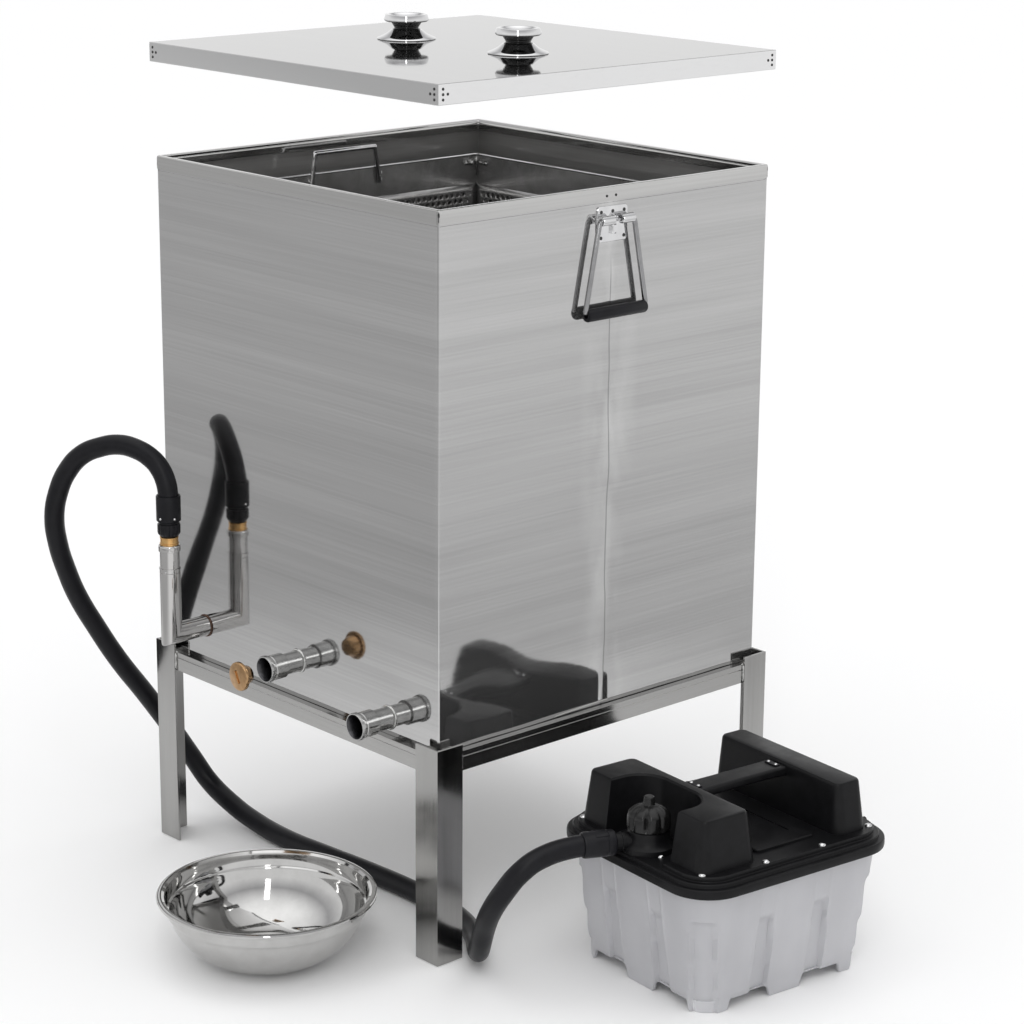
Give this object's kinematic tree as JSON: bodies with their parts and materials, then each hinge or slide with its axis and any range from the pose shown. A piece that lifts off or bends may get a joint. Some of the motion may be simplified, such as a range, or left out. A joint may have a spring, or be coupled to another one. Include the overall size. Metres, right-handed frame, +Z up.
{
  "type": "electric wax melter",
  "caption": "Square steel steam wax melter on an angle stand, with a lifted lid, perforated basket, brass drain plug, electric steam generator, hose and collecting bowl.",
  "frame": {"origin": "on the floor, under the middle of the box round the set without its hose", "axes": "+Z up; -Y is the side that the steam inlet and the outlets face; +X is the side of the steam generator"},
  "size_m": [1.0011, 0.8335, 1.0901],
  "materials": {
    "tank_steel": "rolled sheet, half bright",
    "stand_steel": "ground",
    "outlet_steel": "cast, dull",
    "basket_steel": "perforated sheet, half bright",
    "lid_steel": "mirror polish",
    "bright_metal": "mirror polish",
    "bowl_steel": "mirror polish",
    "brass": "turned",
    "black_plastic": "satin",
    "black_rubber": "smooth",
    "frosted_plastic": "frosted"
  },
  "bodies": {
    "tank": {"tank_shell": "tank_steel", "tank_front": "tank_steel", "rim_band": "tank_steel", "tank_floor": "tank_steel", "basket_runner_left": "stand_steel", "basket_runner_right": "stand_steel", "wax_outlet": "outlet_steel", "water_outlet": "outlet_steel", "steam_elbow": "tank_steel", "riser_socket": "tank_steel", "brass_adapter": "brass", "hose_nut": "black_plastic", "hose_collar_tank": "black_plastic", "steam_hose": "black_rubber", "hose_collar_generator": "black_plastic", "leg_front_left": "stand_steel", "leg_front_right": "stand_steel", "leg_back_left": "stand_steel", "leg_back_right": "stand_steel", "rail_front": "stand_steel", "rail_back": "stand_steel", "rail_left": "stand_steel", "rail_right": "stand_steel", "handle_plate_left": "bright_metal", "handle_plate_right": "bright_metal", "reservoir_tub": "frosted_plastic", "cover": "black_plastic", "cover_screws": "bright_metal", "carry_handle": "black_plastic", "filler_neck": "black_plastic", "steam_spout": "black_plastic", "mains_gland": "black_plastic", "heating_element": "bright_metal"},
    "basket": {"basket_band": "basket_steel", "basket_panel_front": "basket_steel", "basket_panel_back": "basket_steel", "basket_panel_left": "basket_steel", "basket_panel_right": "basket_steel", "basket_floor": "basket_steel", "basket_post_front_left": "basket_steel", "basket_post_front_right": "basket_steel", "basket_post_back_left": "basket_steel", "basket_post_back_right": "basket_steel", "basket_handle_left": "bright_metal", "basket_handle_right": "bright_metal"},
    "lid": {"lid_pan": "lid_steel", "knob_base_left": "bright_metal", "knob_base_right": "bright_metal", "knob_body_left": "black_plastic", "knob_body_right": "black_plastic", "knob_cap_left": "bright_metal", "knob_cap_right": "bright_metal"},
    "plug": {"drain_plug": "brass"},
    "handle_right": {"bail_right": "bright_metal", "grip_right": "black_rubber"},
    "handle_left": {"bail_left": "bright_metal", "grip_left": "black_rubber"},
    "filler_cap": {"filler_cap": "black_plastic"},
    "bowl": {"bowl": "bowl_steel"}
  },
  "joints": [
    {"name": "basket_lift", "type": "slide", "parent": "tank", "child": "basket", "axis": [0, 0, 1], "range_m": [0, 0.58]},
    {"name": "lid_lift", "type": "slide", "parent": "basket", "child": "lid", "axis": [0, 0, 1], "range_m": [-0.14, 0.2]},
    {"name": "plug_pull", "type": "slide", "parent": "tank", "child": "plug", "axis": [0, -1, 0], "range_m": [-0.0357, 0.06]},
    {"name": "handle_right_swing", "type": "hinge", "parent": "tank", "child": "handle_right", "pos_m": [0.1035, 0.13225, 0.8785], "axis": [0, -1, 0], "range_deg": [0, 90]},
    {"name": "handle_left_swing", "type": "hinge", "parent": "tank", "child": "handle_left", "pos_m": [-0.4595, 0.13225, 0.8785], "axis": [0, 1, 0], "range_deg": [0, 90]},
    {"name": "filler_cap_turn", "type": "hinge", "parent": "tank", "child": "filler_cap", "pos_m": [0.30099, 0.00736, 0.204], "axis": [0, 0, 1], "range_deg": [0, 360]},
    {"name": "bowl_lift", "type": "slide", "parent": "tank", "child": "bowl", "axis": [0, 0, 1], "range_m": [0, 0.15]}
  ]
}
